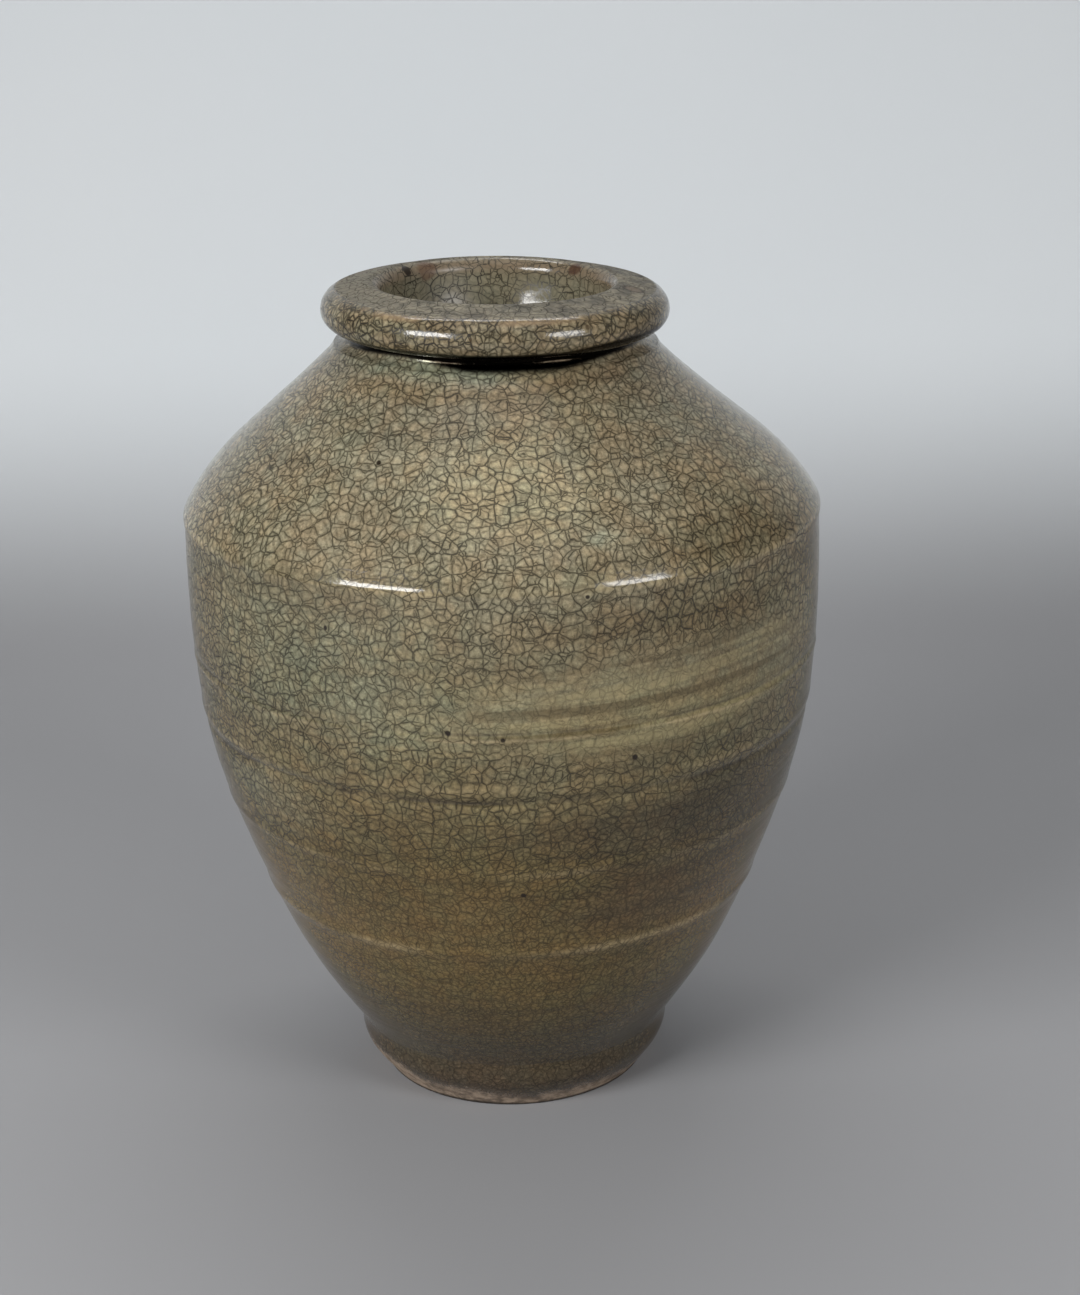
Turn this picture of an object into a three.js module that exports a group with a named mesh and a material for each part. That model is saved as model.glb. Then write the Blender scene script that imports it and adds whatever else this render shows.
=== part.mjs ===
// A narrow-mouthed, wide-shouldered stoneware jar, in the sections that its maker joined: a turned
// foot with the floor let into it, four lengths of wall, a short neck and a rolled rim.
// Millimetres, +Z up, with the origin at the centre of the plane that the foot rests on.
import * as THREE from "three";

// Overall sizes
const jarHeight = 280;
const shoulderRadius = 106.3;
const mouthRadius = 37.6;
const footContactRadius = 46.7;

// Height of each section: the belly section takes what the others leave of the jar's height
const footHeight = 21.5;
const lowerWallHeight = 55.3;
const middleWallHeight = 60.9;
const shoulderWallHeight = 54.9;
const collarHeight = 4.8;
const rimHeight = 15.7;

// Where the sections meet outside: in from the shoulder, or out from the foot or the neck
const lowerRidgeInset = 20.7;
const seamInset = 2.5;
const heelFlare = 7.2;
const neckFlare = 1.9;

// Lean of the wall there, in degrees outward from upright
const heelLean = 43;
const lowerRidgeLean = 21.3;
const seamLean = 8;
const shoulderRidgeLean = -1.7;
const shoulderSlopeLean = -47.4;
const neckRootLean = -44;

// The shoulder turns over between its ridge and the straighter slope above
const shoulderTurnRise = 14.3;
const shoulderTurnInset = 7.4;

// Wall thickness, heavier towards the foot; the neck's is measured at the mouth
const heelThickness = 9;
const lowerRidgeThickness = 7.6;
const seamThickness = 7;
const shoulderThickness = 6.5;
const neckRootThickness = 7;
const neckThickness = 13.6;

// Foot ring and floor
const footFlareLean = 34;
const footBulge = 0.7;
const footBulgeHeight = 15.1;
const footEdgeRound = 0.9;
const footRingWidth = 7.7;
const recessDepth = 6.5;
const recessDome = 1.2;
const floorThickness = 8.3;
const floorDish = 2.4;
const floorDishFlat = 0.8;
const floorCove = 2.3;

// Rolled rim: it hangs over the neck, and its top face rises inwards to a lip
const rimOverhang = 6.2;
const rimBulgeRise = 6.5;
const rimRollWidth = 7.5;
const rimTopFall = 1.9;
const lipWidth = 4.6;
const lipHeight = 4.5;
const neckFillet = 2.8;

// The mouth narrows from the foot of its lip to the throat
const throatTaper = 3;
const throatDrop = 4.3;

// Luted joints: a ridge on the lower section, a groove in the upper, and slip between
const slipGap = 0.35;
const keyHeight = 2.4;

// Ridges that the joints leave outside; the seam half way up is a shallow groove
const ridgeSpread = 5;
const lowerRidgeSwell = 0.5;
const seamSwell = -0.4;
const shoulderRidgeSwell = 0.6;

// Facets
const roundSegments = 60;
const outsideFacet = 8;
const insideFacet = 15;

const collarTop = jarHeight - rimHeight;
const neckRadius = mouthRadius + neckThickness;
const rimRadius = neckRadius + rimOverhang;
const lipFoot = jarHeight - lipHeight;
const throatHeight = collarTop - throatDrop;
const heelRadius = footContactRadius + heelFlare;
const recessRadius = footContactRadius - footRingWidth;

const heel = {
  height: footHeight,
  radius: heelRadius,
  lean: heelLean,
  thickness: heelThickness,
};
const lowerRidge = {
  height: heel.height + lowerWallHeight,
  radius: shoulderRadius - lowerRidgeInset,
  lean: lowerRidgeLean,
  thickness: lowerRidgeThickness,
  swell: lowerRidgeSwell,
};
const seam = {
  height: lowerRidge.height + middleWallHeight,
  radius: shoulderRadius - seamInset,
  lean: seamLean,
  thickness: seamThickness,
  swell: seamSwell,
};
const neckRoot = {
  height: collarTop - collarHeight,
  radius: neckRadius + neckFlare,
  lean: neckRootLean,
  thickness: neckRootThickness,
};
const shoulderRidge = {
  height: neckRoot.height - shoulderWallHeight,
  radius: shoulderRadius,
  lean: shoulderRidgeLean,
  thickness: shoulderThickness,
  swell: shoulderRidgeSwell,
};
const shoulderTurn = {
  height: shoulderRidge.height + shoulderTurnRise,
  radius: shoulderRadius - shoulderTurnInset,
  lean: shoulderSlopeLean,
  thickness: shoulderThickness,
};
const ridges = [lowerRidge, seam, shoulderRidge];

// Direction of the wall going up, for a lean in degrees: x is the radius and y the height.
function upTheWall(lean) {
  const angle = THREE.MathUtils.degToRad(lean);
  return new THREE.Vector2(Math.sin(angle), Math.cos(angle));
}

function inwardFrom(direction) {
  return new THREE.Vector2(-direction.y, direction.x);
}

function onWall(joint) {
  return new THREE.Vector2(joint.radius, joint.height);
}

// The outside of the wall from one joint to the next, one smooth sweep with no kink at either.
function wallCurve(lower, upper) {
  const start = onWall(lower);
  const end = onWall(upper);
  const reach = start.distanceTo(end) / 3;
  const leaving = start.clone().addScaledVector(upTheWall(lower.lean), reach);
  const arriving = end.clone().addScaledVector(upTheWall(upper.lean), -reach);
  return new THREE.CubicBezierCurve(start, leaving, arriving, end);
}

// How far the joints' ridges stand out of the wall at a height.
function swellAt(height) {
  return ridges.reduce((sum, ridge) => {
    const away = (height - ridge.height) / ridgeSpread;
    return sum + ridge.swell * Math.exp(-away * away);
  }, 0);
}

function outsidePoint(point, direction) {
  return point.clone().addScaledVector(inwardFrom(direction), -swellAt(point.y));
}

function insidePoint(point, direction, thickness) {
  return point.clone().addScaledVector(inwardFrom(direction), thickness);
}

// The line across the wall at a joint, from outside to inside over its key.
function jointLine(outer, inner, direction, lift) {
  const key = outer.clone().lerp(inner, 0.5).addScaledVector(direction, keyHeight);
  return [outer, key, inner].map((point) => point.clone().addScaledVector(direction, lift));
}

function wallJointLine(joint, lift) {
  const direction = upTheWall(joint.lean);
  const outer = outsidePoint(onWall(joint), direction);
  const inner = insidePoint(onWall(joint), direction, joint.thickness);
  return jointLine(outer, inner, direction, lift);
}

// The mouth's radius below its lip, narrowing faster and faster down to the throat.
function funnelRadius(height) {
  const share = (lipFoot - height) / (lipFoot - throatHeight);
  return mouthRadius - throatTaper * share * share;
}

function funnelPoints(from, to, steps) {
  const points = [];
  for (let step = 1; step <= steps; step++) {
    const height = THREE.MathUtils.lerp(from, to, step / steps);
    points.push(new THREE.Vector2(funnelRadius(height), height));
  }
  return points;
}

// The neck's top is level, so its joint with the rim is too.
function neckJointLine(lift) {
  const outer = new THREE.Vector2(neckRadius, collarTop);
  const inner = new THREE.Vector2(funnelRadius(collarTop), collarTop);
  return jointLine(outer, inner, upTheWall(0), lift);
}

// Points along one face of the wall through a run of joints, without the two ends.
function wallFace(joints, facet, place) {
  const points = [];
  for (let i = 1; i < joints.length; i++) {
    const curve = wallCurve(joints[i - 1], joints[i]);
    const steps = Math.max(2, Math.round(curve.getLength() / facet));
    const last = i === joints.length - 1 ? steps - 1 : steps;
    for (let step = 1; step <= last; step++) {
      const share = step / steps;
      const thickness = THREE.MathUtils.lerp(joints[i - 1].thickness, joints[i].thickness, share);
      points.push(place(curve.getPoint(share), curve.getTangent(share), thickness));
    }
  }
  return points;
}

// A length of wall: up the outside, over the upper joint, down the inside, over the lower joint.
function wallOutline(...joints) {
  const below = joints[0];
  const above = joints[joints.length - 1];
  const outside = wallFace(joints, outsideFacet, outsidePoint);
  const inside = wallFace(joints, insideFacet, insidePoint);
  const [outer, key, inner] = wallJointLine(below, slipGap);
  return [outer, ...outside, ...wallJointLine(above, 0), ...inside.reverse(), inner, key];
}

// The floor is let into the foot below the wall's inner face, with a cove between them.
const floorSeatRadius = wallJointLine(heel, 0)[2].x - floorCove;

// The foot flares from its contact edge, bulges, and draws in a little under the wall.
function footOutline() {
  const edge = { radius: footContactRadius, height: footEdgeRound, lean: footFlareLean };
  const bulge = { radius: heelRadius + footBulge, height: footBulgeHeight, lean: 0 };
  const drawIn = new THREE.QuadraticBezierCurve(
    onWall(bulge),
    new THREE.Vector2(bulge.radius, (bulge.height + footHeight) / 2),
    onWall(heel),
  );
  const heelLine = wallJointLine(heel, 0);
  const heelInner = heelLine[2];
  const floorEdge = recessDepth + floorThickness + floorDish;
  const cove = new THREE.QuadraticBezierCurve(
    heelInner,
    new THREE.Vector2(floorSeatRadius, (floorEdge + heelInner.y) / 2),
    new THREE.Vector2(floorSeatRadius, floorEdge),
  );
  return [
    new THREE.Vector2(footContactRadius - footEdgeRound, 0),
    ...wallCurve(edge, bulge).getPoints(4),
    ...drawIn.getPoints(2).slice(1, -1),
    ...heelLine,
    ...cove.getPoints(2).slice(1),
    new THREE.Vector2(floorSeatRadius, recessDepth),
    new THREE.Vector2(recessRadius, recessDepth),
    new THREE.Vector2(recessRadius, footEdgeRound),
    new THREE.Vector2(recessRadius + footEdgeRound, 0),
  ];
}

// The floor sits on the foot's ledge, domed a little underneath and dished inside the jar.
function floorOutline() {
  const under = recessDepth + slipGap;
  const top = under + floorThickness;
  const edge = floorSeatRadius - slipGap;
  const dome = new THREE.QuadraticBezierCurve(
    new THREE.Vector2(0, under + recessDome),
    new THREE.Vector2(recessRadius / 2, under + recessDome),
    new THREE.Vector2(recessRadius - slipGap, under),
  );
  const dish = new THREE.QuadraticBezierCurve(
    new THREE.Vector2(edge, top + floorDish),
    new THREE.Vector2(edge * floorDishFlat, top),
    new THREE.Vector2(0, top),
  );
  return [...dome.getPoints(3), new THREE.Vector2(edge, under), ...dish.getPoints(4)];
}

// The neck rises out of the shoulder's slope in a small fillet. Inside, its throat rounds over
// into the slope's underside.
function collarOutline() {
  const [rootOuter, rootKey, rootInner] = wallJointLine(neckRoot, slipGap);
  const fillet = new THREE.QuadraticBezierCurve(
    rootOuter,
    new THREE.Vector2(neckRadius, rootOuter.y + neckFillet / 2),
    new THREE.Vector2(neckRadius, rootOuter.y + neckFillet),
  );
  const throat = { radius: funnelRadius(throatHeight), height: throatHeight, lean: 0 };
  const shoulderInside = { radius: rootInner.x, height: rootInner.y, lean: neckRootLean };
  const underside = wallCurve(shoulderInside, throat).getPoints(4).reverse();
  return [
    ...fillet.getPoints(3),
    ...neckJointLine(0),
    ...funnelPoints(collarTop, throatHeight, 2),
    ...underside.slice(1),
    rootKey,
  ];
}

// The rim is rolled over outwards: a full roll, undercut to the neck and flatter above than below,
// a broad top face that rises inwards to a crest, and a rounded lip round the mouth.
function rimOutline() {
  const [rootOuter, rootKey, rootInner] = neckJointLine(slipGap);
  const bulgeHeight = collarTop + rimBulgeRise;
  const under = new THREE.EllipseCurve(
    neckRadius,
    bulgeHeight,
    rimOverhang,
    bulgeHeight - rootOuter.y,
    -Math.PI / 2,
    0,
  );
  const over = new THREE.EllipseCurve(
    rimRadius - rimRollWidth,
    bulgeHeight,
    rimRollWidth,
    jarHeight - rimTopFall - bulgeHeight,
    0,
    Math.PI / 2,
  );
  const lip = new THREE.EllipseCurve(
    mouthRadius + lipWidth,
    lipFoot,
    lipWidth,
    lipHeight,
    Math.PI / 2,
    Math.PI,
  );
  return [
    ...under.getPoints(4),
    ...over.getPoints(4).slice(1),
    ...lip.getPoints(3),
    ...funnelPoints(lipFoot, rootInner.y, 3).slice(0, -1),
    rootInner,
    rootKey,
  ];
}

// A section turned from its outline and set at its own height. A ring's outline closes on itself,
// and the floor's starts and ends on the axis.
function turnedSection(name, outline, seat, colour, roughness) {
  const points = outline.map((point) => new THREE.Vector2(point.x, point.y - seat));
  if (points[0].x > 0) {
    points.push(points[0].clone());
  }
  const geometry = new THREE.LatheGeometry(points, roundSegments);
  const material = new THREE.MeshStandardMaterial({ color: colour, roughness, metalness: 0 });
  const section = new THREE.Mesh(geometry, material);
  section.name = name;
  section.position.y = seat;
  return section;
}

const foot = new THREE.Group();
foot.add(
  turnedSection("foot_ring", footOutline(), 0, 0x7b6a5b, 0.45),
  turnedSection("base_disc", floorOutline(), recessDepth, 0x93796a, 0.8),
);

const body = new THREE.Group();
body.add(
  turnedSection("lower_wall", wallOutline(heel, lowerRidge), heel.height, 0x6d6250, 0.32),
  turnedSection("middle_wall", wallOutline(lowerRidge, seam), lowerRidge.height, 0x76705a, 0.3),
  turnedSection("belly_wall", wallOutline(seam, shoulderRidge), seam.height, 0x7f7960, 0.28),
  turnedSection(
    "shoulder_wall",
    wallOutline(shoulderRidge, shoulderTurn, neckRoot),
    shoulderRidge.height,
    0x847a62,
    0.28,
  ),
);

const mouth = new THREE.Group();
mouth.add(
  turnedSection("neck_collar", collarOutline(), neckRoot.height, 0x7a6e58, 0.35),
  turnedSection("rolled_rim", rimOutline(), collarTop, 0x87775d, 0.3),
);

// The outlines are turned about +Y, and the whole jar is stood up along +Z.
const jar = new THREE.Group();
jar.rotation.x = Math.PI / 2;
jar.add(foot, body, mouth);

export default jar;
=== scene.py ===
import bpy
import math
from mathutils import Matrix, Vector


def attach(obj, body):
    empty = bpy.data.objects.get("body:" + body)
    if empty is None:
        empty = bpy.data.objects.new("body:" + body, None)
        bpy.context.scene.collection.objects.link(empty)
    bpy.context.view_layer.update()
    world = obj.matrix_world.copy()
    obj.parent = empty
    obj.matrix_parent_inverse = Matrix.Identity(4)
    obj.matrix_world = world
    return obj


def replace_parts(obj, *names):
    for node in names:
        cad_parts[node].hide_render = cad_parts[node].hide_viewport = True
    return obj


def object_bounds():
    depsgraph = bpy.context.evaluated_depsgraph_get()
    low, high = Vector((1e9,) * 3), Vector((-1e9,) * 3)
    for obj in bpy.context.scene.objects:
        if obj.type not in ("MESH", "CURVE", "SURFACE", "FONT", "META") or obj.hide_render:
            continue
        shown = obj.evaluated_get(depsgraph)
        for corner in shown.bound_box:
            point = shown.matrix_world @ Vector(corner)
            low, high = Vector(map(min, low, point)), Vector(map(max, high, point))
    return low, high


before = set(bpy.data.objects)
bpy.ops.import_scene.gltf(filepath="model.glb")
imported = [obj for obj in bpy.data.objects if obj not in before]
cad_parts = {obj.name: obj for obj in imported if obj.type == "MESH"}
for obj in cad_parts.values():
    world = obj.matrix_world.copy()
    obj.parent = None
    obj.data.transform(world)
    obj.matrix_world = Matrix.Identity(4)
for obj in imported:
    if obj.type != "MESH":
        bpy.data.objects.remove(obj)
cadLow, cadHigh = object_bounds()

mm = 0.001


# Node trees. A Wire is an output socket that can be reckoned with like a number
class Wire:
    def __init__(self, maker, socket):
        self.maker = maker
        self.socket = socket

    def __add__(self, other):
        return self.maker.maths("ADD", self, other)

    def __radd__(self, other):
        return self.maker.maths("ADD", other, self)

    def __sub__(self, other):
        return self.maker.maths("SUBTRACT", self, other)

    def __rsub__(self, other):
        return self.maker.maths("SUBTRACT", other, self)

    def __mul__(self, other):
        return self.maker.maths("MULTIPLY", self, other)

    def __rmul__(self, other):
        return self.maker.maths("MULTIPLY", other, self)

    def __truediv__(self, other):
        return self.maker.maths("DIVIDE", self, other)

    def __rtruediv__(self, other):
        return self.maker.maths("DIVIDE", other, self)

    # Another output of the same node
    def sibling(self, name):
        return Wire(self.maker, self.socket.node.outputs[name])


class Maker:
    def __init__(self, tree):
        self.tree = tree

    # Any node: its settings first, then the values or links of its sockets, and the output asked for
    def node(self, kind, settings=None, inputs=None, out=0):
        made = self.tree.nodes.new(kind)
        for name, value in (settings or {}).items():
            if name == "stops":
                self.setStops(made.color_ramp, value)
            else:
                setattr(made, name, value)
        for name, value in (inputs or {}).items():
            self.plug(made.inputs[name], value)
        return Wire(self, made.outputs[out]) if made.outputs else made

    def plug(self, socket, value):
        if isinstance(value, Wire):
            self.tree.links.new(value.socket, socket)
        else:
            socket.default_value = value

    def setStops(self, ramp, stops):
        while len(ramp.elements) < len(stops):
            ramp.elements.new(1.0)
        for element, (place, colour) in zip(ramp.elements, stops):
            element.position = place
            element.color = colour

    def maths(self, operation, *values):
        return self.node("ShaderNodeMath", {"operation": operation}, dict(enumerate(values)))

    def vectors(self, operation, *values, out=0):
        return self.node("ShaderNodeVectorMath", {"operation": operation}, dict(enumerate(values)), out)

    def vector(self, x, y, z):
        return self.node("ShaderNodeCombineXYZ", None, {0: x, 1: y, 2: z})

    def parts(self, vector):
        return [self.node("ShaderNodeSeparateXYZ", None, {0: vector}, out) for out in range(3)]

    # 0 below low and 1 above high, eased between
    def ease(self, value, low, high):
        inputs = {"Value": value, "From Min": low, "From Max": high}
        return self.node("ShaderNodeMapRange", {"interpolation_type": "SMOOTHSTEP"}, inputs)

    # 1 at a centre, fading over a spread on both sides
    def band(self, value, centre, spread):
        away = (value - centre) / spread
        return self.maths("EXPONENT", 0.0 - away * away)

    def noise(self, vector, scale, detail=2.0, rough=0.5, out=0):
        inputs = {"Vector": vector, "Scale": scale, "Detail": detail, "Roughness": rough}
        return self.node("ShaderNodeTexNoise", None, inputs, out)

    def mixColour(self, share, first, second, how="MIX"):
        settings = {"data_type": "RGBA", "blend_type": how, "clamp_factor": True}
        return self.node("ShaderNodeMix", settings, {0: share, 6: first, 7: second}, 2)


# A colour as seen on a screen, 0 to 255, made linear by the usual screen curve, and opaque
def screenColour(*levels):
    shares = [level / 255 for level in levels]
    linear = [((share + 0.055) / 1.055) ** 2.4 if share > 0.04 else share / 12.92 for share in shares]
    return (*linear, 1.0)


# The jar's rule: the same joints as the frame's, in millimetres
jarSizes = {
    "height": (cadHigh.z - cadLow.z) / mm,
    "shoulderRadius": 106.3,
    "mouthRadius": 37.6,
    "neckThickness": 13.6,
    "rimHeight": 15.7,
    "collarHeight": 4.8,
    "slip": 0.35,
    "key": 2.4,
    "fineStep": 0.8,
    "coarseStep": 4.0,
}
collarTop = jarSizes["height"] - jarSizes["rimHeight"]
neckHeight = collarTop - jarSizes["collarHeight"]
neckRadius = jarSizes["mouthRadius"] + jarSizes["neckThickness"]
shoulderRadius = jarSizes["shoulderRadius"]

heel = {"height": 21.5, "radius": 53.9, "lean": 43.0, "wall": 9.0}
lowerRidge = {"height": 76.8, "radius": shoulderRadius - 20.7, "lean": 21.3, "wall": 7.6}
seam = {"height": 137.7, "radius": shoulderRadius - 2.5, "lean": 8.0, "wall": 7.0}
shoulderRidge = {"height": neckHeight - 54.9, "radius": shoulderRadius, "lean": -1.7, "wall": 6.5}
shoulderTurn = {"height": neckHeight - 40.6, "radius": shoulderRadius - 7.4, "lean": -47.4, "wall": 6.5}
neckRoot = {"height": neckHeight, "radius": neckRadius + 1.9, "lean": -44.0, "wall": 7.0}

# Turned lines that stand out of the wall or lie in it: height, depth, spread, and how strongly they are
# painted, pale as painted light on a ridge and dark as painted shade in a groove
turnedLines = [
    (lowerRidge["height"], 0.5, 2.6, 0.42),
    (109.5, 0.3, 2.2, 0.22),
    (seam["height"] - 0.8, -0.6, 1.5, 0.8),
    (seam["height"] + 3.4, 0.35, 2.6, 0.2),
    (160.6, -0.25, 0.9, 0.55),
    (158.4, 0.25, 1.0, 0.42),
    (shoulderRidge["height"] + 0.8, 0.6, 2.6, 0.35),
    (215.0, -1.2, 7.0, 0.0),
    (neckRoot["height"] + 0.4, 0.7, 1.7, 0.0),
]
heelFillet = {"depth": 1.9, "reach": 5.0}


def leaning(lean):
    return Vector((math.sin(math.radians(lean)), math.cos(math.radians(lean))))


def inward(direction):
    return Vector((-direction.y, direction.x))


def bezier(p0, p1, p2, p3, share):
    rest = 1 - share
    point = rest**3 * p0 + 3 * rest**2 * share * p1 + 3 * rest * share**2 * p2 + share**3 * p3
    slope = rest**2 * (p1 - p0) + 2 * rest * share * (p2 - p1) + share**2 * (p3 - p2)
    return point, slope.normalized()


# A curve pulled towards two bends
def curve(start, first, second, end, count):
    return [bezier(start, first, second, end, i / count)[0] for i in range(count + 1)]


# A curve pulled towards one bend
def bent(start, bend, end, count):
    shares = [i / count for i in range(count + 1)]
    return [(1 - s) ** 2 * start + 2 * s * (1 - s) * bend + s**2 * end for s in shares]


# How far the turned lines and the heel's fillet stand out of the wall at a height
def swell(height):
    standing = heelFillet["depth"] * math.exp(-abs(height - heel["height"]) / heelFillet["reach"])
    turnedOut = 0
    for place, depth, spread, _ in turnedLines:
        turnedOut += depth * math.exp(-(((height - place) / spread) ** 2))
    return turnedOut + standing


def onWall(joint):
    return Vector((joint["radius"], joint["height"]))


# One face of the wall through a run of joints, as (point, direction, wall thickness)
def wallSweep(joints, step):
    swept = []
    for lower, upper in zip(joints, joints[1:]):
        start, end = onWall(lower), onWall(upper)
        reach = (end - start).length / 3
        leaving = start + leaning(lower["lean"]) * reach
        arriving = end - leaning(upper["lean"]) * reach
        count = max(2, round((end - start).length / step))
        for i in range(1 if swept else 0, count + 1):
            point, direction = bezier(start, leaving, arriving, end, i / count)
            wall = lower["wall"] + (upper["wall"] - lower["wall"]) * i / count
            swept.append((point, direction, wall))
    return swept


def outsideOf(swept):
    return [point - inward(direction) * swell(point.y) for point, direction, _ in swept]


def insideOf(swept):
    return [point + inward(direction) * wall for point, direction, wall in swept]


def keyPoint(outer, inner, direction, lift):
    return (outer + inner) / 2 + direction * (jarSizes["key"] + lift)


def wallOutline(*joints):
    outside = outsideOf(wallSweep(joints, jarSizes["fineStep"]))
    inside = insideOf(wallSweep(joints, jarSizes["coarseStep"]))
    upperKey = keyPoint(outside[-1], inside[-1], leaning(joints[-1]["lean"]), 0)
    lowerKey = keyPoint(outside[0], inside[0], leaning(joints[0]["lean"]), jarSizes["slip"])
    return [*outside, upperKey, *reversed(inside), lowerKey]


def jointEnds(joint):
    direction = leaning(joint["lean"])
    outer = onWall(joint) - inward(direction) * swell(joint["height"])
    return outer, onWall(joint) + inward(direction) * joint["wall"], direction


# How the hand shows in the turned form, in metres; each noise has its scale, detail and roughness
turningLook = {
    "rippleRound": 0.09,
    "rippleRise": 9.0,
    "rippleSlope": 0.03,
    "rippleNoise": (12.0, 3.0, 0.6),
    "wobbleRound": 0.5,
    "wobbleRise": 4.0,
    "wobbleNoise": (1.6, 1.0, 0.4),
    "footFade": (0.003, 0.04),
    "axisFade": (0.005, 0.03),
    "neckFade": (0.200, 0.262),
    "weld": 0.00002,
    "crispAngle": 0.6,
}


# Geometry Nodes: turns an outline round the axis, then gives it the hand's unevenness
def turningTree():
    tree = bpy.data.node_groups.new("turned by hand", "GeometryNodeTree")
    face = tree.interface
    face.new_socket("Outline", in_out="INPUT", socket_type="NodeSocketGeometry")
    face.new_socket("Rounds", in_out="INPUT", socket_type="NodeSocketInt")
    for name in ("Ripple", "Wobble", "Rim Shift", "Rim Tilt"):
        face.new_socket(name, in_out="INPUT", socket_type="NodeSocketFloat")
    face.new_socket("Material", in_out="INPUT", socket_type="NodeSocketMaterial")
    face.new_socket("Piece", in_out="OUTPUT", socket_type="NodeSocketGeometry")
    make = Maker(tree)
    given = tree.nodes.new("NodeGroupInput")

    def asked(name):
        return Wire(make, given.outputs[name])

    count = make.node("GeometryNodeAttributeDomainSize", {"component": "MESH"}, {0: asked("Outline")})
    index = make.node("GeometryNodeInputIndex")
    column = make.maths("FLOOR", (index + 0.5) / count)
    row = make.maths("FLOOR", index - column * count + 0.5)
    grid = make.node("GeometryNodeMeshGrid", None, {"Vertices X": asked("Rounds") + 1, "Vertices Y": count})
    place = make.node("GeometryNodeInputPosition")
    sampling = {"data_type": "FLOAT_VECTOR", "domain": "POINT"}
    sampled = make.node("GeometryNodeSampleIndex", sampling, {0: asked("Outline"), 1: place, 2: row})
    radius, _, height = make.parts(sampled)
    angle = column / asked("Rounds") * math.tau
    east, north = make.maths("COSINE", angle), make.maths("SINE", angle)

    # Fingers leave long, nearly level ripples; drying and firing leave the round a little oval
    look = turningLook
    rippleRise = height * look["rippleRise"] + east * look["rippleSlope"]
    ripplePlace = make.vector(east * look["rippleRound"], north * look["rippleRound"], rippleRise)
    ripple = make.noise(ripplePlace, *look["rippleNoise"]) - 0.5
    wobbleRise = height * look["wobbleRise"]
    wobblePlace = make.vector(east * look["wobbleRound"], north * look["wobbleRound"], wobbleRise)
    wobble = make.noise(wobblePlace, *look["wobbleNoise"]) - 0.5
    offFoot = make.ease(height, *look["footFade"])
    offAxis = make.ease(radius, *look["axisFade"])
    wide = radius + (ripple * asked("Ripple") + wobble * asked("Wobble")) * offFoot * offAxis

    # The neck and rim went on a little aside and out of level
    atNeck = make.ease(height, *look["neckFade"])
    across = wide * east + asked("Rim Shift") * atNeck
    level = height - wide * east * asked("Rim Tilt") * atNeck
    turnedPlace = make.vector(across, wide * north, level)
    wrapped = make.node("GeometryNodeSetPosition", None, {0: grid, 2: turnedPlace})
    closed = make.node("GeometryNodeMergeByDistance", None, {0: wrapped, 2: look["weld"]})
    bend = make.node("GeometryNodeInputMeshEdgeAngle")
    comparing = {"data_type": "FLOAT", "operation": "LESS_THAN"}
    crisp = make.node("FunctionNodeCompare", comparing, {0: bend, 1: look["crispAngle"]})
    smooth = make.node("GeometryNodeSetShadeSmooth", {"domain": "FACE"}, {0: closed, 2: True})
    edged = make.node("GeometryNodeSetShadeSmooth", {"domain": "EDGE"}, {0: smooth, 2: crisp})
    real = make.node("GeometryNodeRealizeInstances", None, {0: edged})
    done = make.node("GeometryNodeSetMaterial", None, {0: real, 2: asked("Material")})
    result = tree.nodes.new("NodeGroupOutput")
    make.plug(result.inputs["Piece"], done)
    return tree


turned = turningTree()
handMade = {"Rounds": 640, "Ripple": 0.0005, "Wobble": 0.0012, "Rim Shift": -0.0007, "Rim Tilt": 0.018}


# A closed ring's outline repeats its first point; the floor's starts and ends on the axis
def turnPiece(name, outline, material):
    points = [Vector((point.x * mm, 0, point.y * mm)) for point in outline]
    if points[0].x > 0:
        points.append(points[0].copy())
    mesh = bpy.data.meshes.new(name)
    mesh.from_pydata(points, [(i, i + 1) for i in range(len(points) - 1)], [])
    piece = bpy.data.objects.new(name, mesh)
    bpy.context.scene.collection.objects.link(piece)
    turning = piece.modifiers.new("turning", "NODES")
    turning.node_group = turned
    for item in turned.interface.items_tree:
        if item.in_out == "INPUT" and item.name in handMade:
            turning[item.identifier] = handMade[item.name]
        elif item.in_out == "INPUT" and item.name == "Material":
            turning[item.identifier] = material
    graph = bpy.context.evaluated_depsgraph_get()
    piece.data = bpy.data.meshes.new_from_object(piece.evaluated_get(graph))
    piece.modifiers.clear()
    piece.data.name = name
    piece.data.calc_loop_triangles()
    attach(piece, "root")
    print(name, len(piece.data.loop_triangles), "triangles")
    return piece


# The wall's radius at a height
def outsideRadius(height):
    joints = (heel, lowerRidge, seam, shoulderRidge, shoulderTurn, neckRoot)
    near = min(wallSweep(joints, jarSizes["fineStep"]), key=lambda swept: abs(swept[0].y - height))
    return near[0].x


# A point on the outside, from degrees round from the front and a height in millimetres
def placeOn(angle, height, radius=None):
    away = radius or outsideRadius(height)
    turn = math.radians(angle)
    return Vector((away * math.sin(turn), -away * math.cos(turn), height)) * mm


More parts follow.
